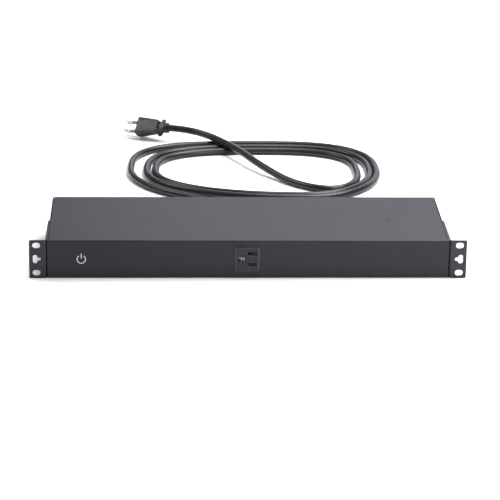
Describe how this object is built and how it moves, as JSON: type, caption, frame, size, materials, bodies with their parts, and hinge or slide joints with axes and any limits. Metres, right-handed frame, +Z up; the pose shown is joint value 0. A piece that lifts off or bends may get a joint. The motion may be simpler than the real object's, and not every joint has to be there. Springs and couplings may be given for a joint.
{
  "type": "rack power strip",
  "caption": "Low black steel rack-width power strip with a single front mains outlet, outlets along the rear, slotted rack ears and a long coiled cord ending in a moulded plug.",
  "frame": {"origin": "on the resting surface, under the middle of the strip's own box, without its cord", "axes": "+X to the right along the front seen from the front, +Y from front to rear, +Z up"},
  "size_m": [0.4826, 0.5562, 0.0437],
  "materials": {
    "powder_coat": "fine-texture black powder coat",
    "ear_coat": "fine-texture black powder coat",
    "black_screw": "black oxide",
    "zinc_steel": "zinc plated",
    "outlet_nylon": "satin black nylon",
    "cap_nylon": "matt black nylon",
    "contact_nickel": "nickel plated bronze",
    "copper": "bare copper strip",
    "breaker_plastic": "moulded phenolic",
    "button_plastic": "white moulded button",
    "tinned_brass": "tin plated",
    "relief_rubber": "satin black vinyl",
    "cord_jacket": "satin black vinyl jacket",
    "wire_black": "black insulation",
    "wire_white": "white insulation",
    "wire_green": "green insulation",
    "plug_rubber": "moulded black vinyl",
    "blade_nickel": "nickel plated brass"
  },
  "bodies": {
    "chassis": {"chassis_shell": "powder_coat", "base_tray": "powder_coat", "left_rack_ear": "ear_coat", "right_rack_ear": "ear_coat", "ear_screws": "black_screw", "ear_nuts": "zinc_steel", "base_screws": "black_screw", "front_outlet_housing": "outlet_nylon", "front_outlet_contacts": "contact_nickel", "front_outlet_cap": "cap_nylon", "rear_outlet_housing_1": "outlet_nylon", "rear_outlet_contacts_1": "contact_nickel", "rear_outlet_cap_1": "cap_nylon", "rear_outlet_housing_2": "outlet_nylon", "rear_outlet_contacts_2": "contact_nickel", "rear_outlet_cap_2": "cap_nylon", "rear_outlet_housing_3": "outlet_nylon", "rear_outlet_contacts_3": "contact_nickel", "rear_outlet_cap_3": "cap_nylon", "rear_outlet_housing_4": "outlet_nylon", "rear_outlet_contacts_4": "contact_nickel", "rear_outlet_cap_4": "cap_nylon", "rear_outlet_housing_5": "outlet_nylon", "rear_outlet_contacts_5": "contact_nickel", "rear_outlet_cap_5": "cap_nylon", "rear_outlet_housing_6": "outlet_nylon", "rear_outlet_contacts_6": "contact_nickel", "rear_outlet_cap_6": "cap_nylon", "rear_outlet_housing_7": "outlet_nylon", "rear_outlet_contacts_7": "contact_nickel", "rear_outlet_cap_7": "cap_nylon", "line_bus": "copper", "neutral_bus": "copper", "ground_bus": "copper", "breaker_body": "breaker_plastic", "breaker_nut": "zinc_steel", "breaker_terminals": "tinned_brass", "strain_relief": "relief_rubber", "cord_jacket": "cord_jacket", "line_wire": "wire_black", "load_wire": "wire_black", "neutral_wire": "wire_white", "ground_wire": "wire_green", "bond_wire": "wire_green", "front_line_wire": "wire_black", "front_neutral_wire": "wire_white", "front_ground_wire": "wire_green", "ground_stud": "powder_coat", "ground_nut": "zinc_steel", "ring_terminal": "tinned_brass", "cord_exit": "cord_jacket", "cord_coil": "cord_jacket", "cord_tail": "cord_jacket", "plug_body": "plug_rubber", "plug_blades": "blade_nickel", "plug_ground_pin": "blade_nickel"},
    "reset_button": {"breaker_button": "button_plastic"}
  },
  "joints": [
    {"name": "breaker_reset", "type": "slide", "parent": "chassis", "child": "reset_button", "axis": [0, 1, 0], "range_m": [0, 0.0035]}
  ]
}
